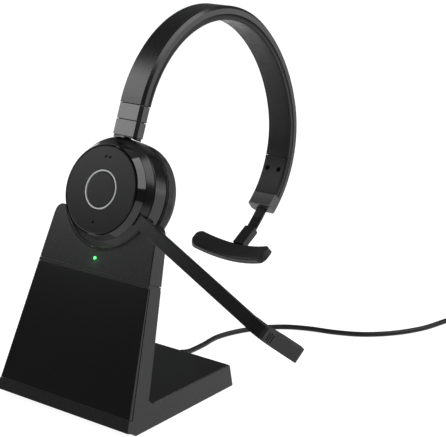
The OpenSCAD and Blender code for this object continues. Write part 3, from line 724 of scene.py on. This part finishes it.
def cushion_section():
    """(radius, depth) round the cushion's section, a little inside its solid, from the inner seam out."""
    points = [(CUSHION_IN + 0.3, CUSHION_BASE + 0.1)]
    points += [(CUSHION_IN + 4.5 - 4.0 * math.cos(t), CUSHION_TOP - 4.9 + 4.2 * math.sin(t))
               for t in np.linspace(-0.3, math.pi / 2, 9)]
    points += [(r, CUSHION_TOP - 0.7) for r in (20.5, 22.5, 24.5)]
    points += [(CUSHION_OUT - 5.4 + 4.7 * math.sin(t), CUSHION_TOP - 5.4 + 4.7 * math.cos(t))
               for t in np.linspace(0.15, math.pi / 2 + 0.25, 9)]
    points += [(CUSHION_OUT - 1.5, CUSHION_BASE + 1.9), (CUSHION_OUT - 1.9, CUSHION_BASE + 0.9),
               (CUSHION_OUT - 2.0, CUSHION_BASE + 0.1)]
    points += [(r, CUSHION_BASE + 0.05) for r in (26, 22.5, 19, 16.5)]
    return points


def make_cushion():
    """The leatherette ear cushion: a stuffed ring blown up as cloth, gathered at its seams."""
    section = cushion_section()
    rows = [[cup_point(r * math.cos(angle), a, r * math.sin(angle)) for r, a in section]
            for angle in ring_of(CUSHION_ROUND)]
    cushion = loft("cushion_cover", rows, "leather", closed_rounds=True)
    held = cushion.vertex_groups.new(name="sewn")
    for i in range(len(cushion.data.vertices)):
        depth = section[i % len(section)][1]
        if depth < CUSHION_BASE + SEWN_DEPTH:
            held.add([i], 1.0, "REPLACE")
    swell(cushion, held.name)
    gather(cushion, section)
    add_subdivision(cushion)
    apply_modifiers(cushion)
    ride_as(cushion, "headset", "leatherette", "ear_cushion")


def swell(obj, group):
    """Runs the cover as cloth under pressure and keeps its shape, with each point's move capped."""
    rest = [vert.co.copy() for vert in obj.data.vertices]
    cloth = obj.modifiers.new("cloth", "CLOTH")
    settings = cloth.settings
    settings.quality = 6
    settings.mass = 0.15
    settings.use_pressure = True
    settings.uniform_pressure_force = 4
    settings.effector_weights.gravity = 0
    settings.vertex_group_mass = group
    settings.tension_stiffness = 25
    settings.compression_stiffness = 25
    settings.bending_stiffness = 0.2
    cloth.collision_settings.use_collision = False
    scene = bpy.context.scene
    for number in range(1, SWELL_FRAMES + 1):
        scene.frame_set(number)
    shown = obj.evaluated_get(bpy.context.evaluated_depsgraph_get()).to_mesh()
    places = [vert.co.copy() for vert in shown.vertices]
    obj.modifiers.remove(cloth)
    scene.frame_set(1)
    for vert, place, start in zip(obj.data.vertices, places, rest):
        move = place - start
        if move.length > SWELL_CAP * MM:
            move *= SWELL_CAP * MM / move.length
        vert.co = start + move


def gather(obj, section):
    """Small gathers that fan out from the inner seam and the piped edge of the cushion."""
    count = len(section)
    for i, vert in enumerate(obj.data.vertices):
        r, a = section[i % count]
        if a < CUSHION_BASE + GATHER_START:
            continue
        near = max(0.0, 1 - (a - CUSHION_BASE) / GATHER_REACH)
        angle = 2 * math.pi * (i // count) / CUSHION_ROUND
        folds = math.sin(26 * angle + 1.7 * math.sin(5 * angle)) + 0.6 * math.sin(41 * angle + 2.1)
        side = 1 if r > GATHER_MIDDLE else -1
        out = (ACROSS * math.cos(angle) + SLAB_UP * math.sin(angle)) * side
        vert.co += out * folds * GATHER_DEPTH * near * MM


def make_piping():
    """A thin piped seam round the cushion where its cover meets the carrier."""
    rows = []
    for angle in ring_of(2 * PIPING_STITCHES):
        bead = PIPING_BEAD * (1 + 0.05 * math.sin(PIPING_STITCHES * angle))
        section = [(PIPING_R + bead * math.cos(t), PIPING_A + bead * math.sin(t)) for t in ring_of(10)]
        rows.append([cup_point(r * math.cos(angle), a, r * math.sin(angle)) for r, a in section])
    piping = loft("cushion_piping", rows, "leather", closed_rounds=True)
    ride_as(piping, "headset", "leatherette")


# ---------- band lining ----------
# outer radius of each bow of the arch, the turn in degrees at which it starts, and the first bow's centre
ARCH_R = (73.0, 97.0, 67.8)
ARCH_TURN = (180.0, 74.0, 34.0)
ARCH_FOOT = (80.6, 49.9)
BAND_HALF = 8.6
SHELL_T = 4.7
BAND_T = 8.6
PAD_END = 4.5
PAD_GAP = 0.05
PAD_GAP_TURN = 0.05
PAD_GAP_BACK = 0.02
PAD_ROLL = 1.1
PAD_CROWN = 0.28
PAD_SUNK = 0.3
SEAM_IN = 1.9
SEAM_WIDTH = 0.22
SEAM_DEPTH = 0.14


def arch_centres():
    """The (a, u) centres of the three bows, each in line with the last one's end."""
    centres = [ARCH_FOOT]
    for k in (1, 2):
        turn = math.radians(ARCH_TURN[k])
        back = ARCH_R[k - 1] - ARCH_R[k]
        centres.append((centres[-1][0] + back * math.cos(turn), centres[-1][1] + back * math.sin(turn)))
    return centres


def arch_point(x, depth, degrees):
    """A point of the band at that turn of the arch, depth millimetres under its outer face."""
    k = 0 if degrees > ARCH_TURN[1] else 1 if degrees > ARCH_TURN[2] else 2
    a, u = arch_centres()[k]
    turn = math.radians(degrees)
    r = ARCH_R[k] - depth
    return cup_point(x, a + r * math.cos(turn), u + r * math.sin(turn))


def band_pad_depth(x, half):
    """Depth of the lining's face at that distance from the band's middle."""
    edge = max(0.0, (abs(x) - (half - PAD_ROLL)) / PAD_ROLL)
    roll = PAD_ROLL * (1 - math.sqrt(max(0.0, 1 - edge ** 2)))
    seam = SEAM_DEPTH * math.exp(-((abs(x) - (half - SEAM_IN)) / SEAM_WIDTH) ** 2)
    return BAND_T - PAD_SUNK + PAD_CROWN * (1 - (x / half) ** 2) - roll - seam


def make_band_pad():
    """The band's soft lining: crowned across its width, rolled at its edges, a fine seam near each."""
    half = BAND_HALF - PAD_GAP
    places = [half * math.copysign(abs(math.sin(t * math.pi / 2)) ** 0.9, t) for t in np.linspace(-1, 1, 41)]
    back = SHELL_T + PAD_GAP_BACK
    section = [(-half, back)] + [(x, band_pad_depth(x, half)) for x in places] + [(half, back)]
    rows = [[arch_point(x, depth, turn) for x, depth in section]
            for turn in np.linspace(ARCH_TURN[0] - PAD_GAP_TURN, PAD_END + PAD_GAP_TURN, 150)]
    pad = loft("band_lining", rows, "pad", caps=True)
    ride_as(pad, "band", "pad_rubber", "headband_pad")


# ---------- temple pad ----------
# the rest's place and lean in the cup frame, then its bow, half width, height, thickness and shift across
TEMPLE_A = 138.3
TEMPLE_U = -11.4
TEMPLE_TILT = math.radians(38.3)
TEMPLE_R = 68.0
TEMPLE_HALF = 27.5
TEMPLE_H = 12.0
TEMPLE_T = 2.6
TEMPLE_X = -1.0
TEMPLE_CORNER = 4.6
TEMPLE_ROLL = 1.0
TEMPLE_ROLL_DEPTH = 0.9
TEMPLE_CROWN = 0.25
TEMPLE_STEPS = 60
TEMPLE_ROW = 3


def temple_point(x, y, z):
    """A point of the temple rest: y away from the head, z up along its stem."""
    c, s = math.cos(TEMPLE_TILT), math.sin(TEMPLE_TILT)
    return cup_point(x, TEMPLE_A + y * c + z * s, TEMPLE_U - y * s + z * c)


def temple_pad_point(along, up, back):
    """A point of the pad's face or back, from the two shares, -1 to 1, of its length and height."""
    long = TEMPLE_R * math.asin(TEMPLE_HALF / TEMPLE_R)
    tall = TEMPLE_H / 2
    z = up * tall
    over = max(abs(z) - (tall - TEMPLE_CORNER), 0.0)
    reach = long - TEMPLE_CORNER + math.sqrt(max(TEMPLE_CORNER ** 2 - over ** 2, 0.0))
    inside = min(tall - abs(z), reach - abs(along * reach), TEMPLE_ROLL)
    depth = TEMPLE_ROLL - math.sqrt(max(TEMPLE_ROLL ** 2 - (TEMPLE_ROLL - inside) ** 2, 0.0))
    crown = TEMPLE_CROWN * up ** 2
    r = TEMPLE_R + (TEMPLE_T if back else depth * TEMPLE_ROLL_DEPTH + crown)
    turn = math.pi / 2 - along * reach / TEMPLE_R
    return temple_point(TEMPLE_X + r * math.cos(turn), r * math.sin(turn) - TEMPLE_R, z - tall)


def make_temple_pad():
    """The temple pad: a soft curved plate with rounded corners, rolled edges and a crowned face."""
    shares = [math.sin(t) for t in np.linspace(-math.pi / 2, math.pi / 2, TEMPLE_STEPS + 1)]
    bm = bmesh.new()
    span = range(TEMPLE_STEPS + 1)
    rows = range(0, TEMPLE_STEPS + 1, TEMPLE_ROW)
    front, rear = ({(i, k): bm.verts.new(temple_pad_point(shares[i], shares[k], back))
                    for i in span for k in rows} for back in (False, True))
    for i in span[:-1]:
        for k in rows[:-1]:
            above = k + TEMPLE_ROW
            bm.faces.new([front[at] for at in ((i, k), (i + 1, k), (i + 1, above), (i, above))])
            bm.faces.new([rear[at] for at in ((i, k), (i, above), (i + 1, above), (i + 1, k))])
    rim = [(i, 0) for i in span] + [(TEMPLE_STEPS, k) for k in rows[1:]]
    rim += [(i, TEMPLE_STEPS) for i in reversed(span[:-1])] + [(0, k) for k in reversed(rows[1:-1])]
    for at, then in zip(rim, rim[1:] + rim[:1]):
        bm.faces.new((front[at], rear[at], rear[then], front[then]))
    pad = new_object("temple_lining", bm, "pad")
    ride_as(pad, "temple", "pad_rubber", "temple_pad")


# ---------- small pieces of the cup and its dock ----------
# millimetres in the cup frame: (x, u) of the touch marks, their floors' depth and the radii of its two rings
MARKS = ((-1.5, 18.2), (1.5, 18.2), (0, -18.2))
MARK_DEPTH = 0.27
MARK_RINGS = (0.3, 0.72)
MARK_SIDES = 24


def make_marks():
    """The floors of the three touch marks on the cover: near-black discs, painted shade of their recesses.
    """
    for number, (x, u) in enumerate(MARKS):
        bm = bmesh.new()
        inner, outer = ([bm.verts.new(cup_point(x + r * math.cos(t), MARK_DEPTH, u + r * math.sin(t)))
                         for t in ring_of(MARK_SIDES)] for r in MARK_RINGS)
        bm.faces.new(inner)
        for i in range(MARK_SIDES):
            after = (i + 1) % MARK_SIDES
            bm.faces.new((inner[i], inner[after], outer[after], outer[i]))
        mark = new_object(f"cover_mark_{number}", bm, "recess_shade")
        ride_as(mark, "volume", "soft_touch")


# the dark sheet's radii, its front and back along a, and half the turn that it covers
GAP_SHADE_IN = 30.84
GAP_SHADE_OUT = 31.25
GAP_SHADE_FRONT = 9.6
GAP_SHADE_BACK = 17.4
GAP_SHADE_HALF = math.radians(63)


def make_dock_gap_shade():
    """A thin dark sheet along the cradle, painted shade that closes the see-through gap under the cup."""
    corners = ((GAP_SHADE_IN, GAP_SHADE_FRONT), (GAP_SHADE_IN, GAP_SHADE_BACK), (GAP_SHADE_OUT, GAP_SHADE_BACK),
               (GAP_SHADE_OUT, GAP_SHADE_FRONT))
    rows = [[cup_point(r * math.cos(t), a, r * math.sin(t)) for r, a in corners]
            for t in np.linspace(1.5 * math.pi - GAP_SHADE_HALF, 1.5 * math.pi + GAP_SHADE_HALF, 64)]
    # painted shade: a near-black sheet where the gap under the cup shows only shade
    lining = loft("dock_gap_shade", rows, "mesh", caps=True)
    for face in lining.data.polygons:
        face.use_smooth = False
    ride_as(lining, "stand", "mesh_fabric")


# ---------- build ----------
make_camera()
make_lights()
make_status_glow()
make_floor()
make_lead()
make_boot()
make_plug_details()
make_cushion()
make_piping()
make_band_pad()
make_temple_pad()
make_marks()
make_dock_gap_shade()
for node_name, look_name in NODE_LOOKS.items():
    finish_node(node_name, look_name)

bpy.context.scene.view_settings.view_transform = "Standard"
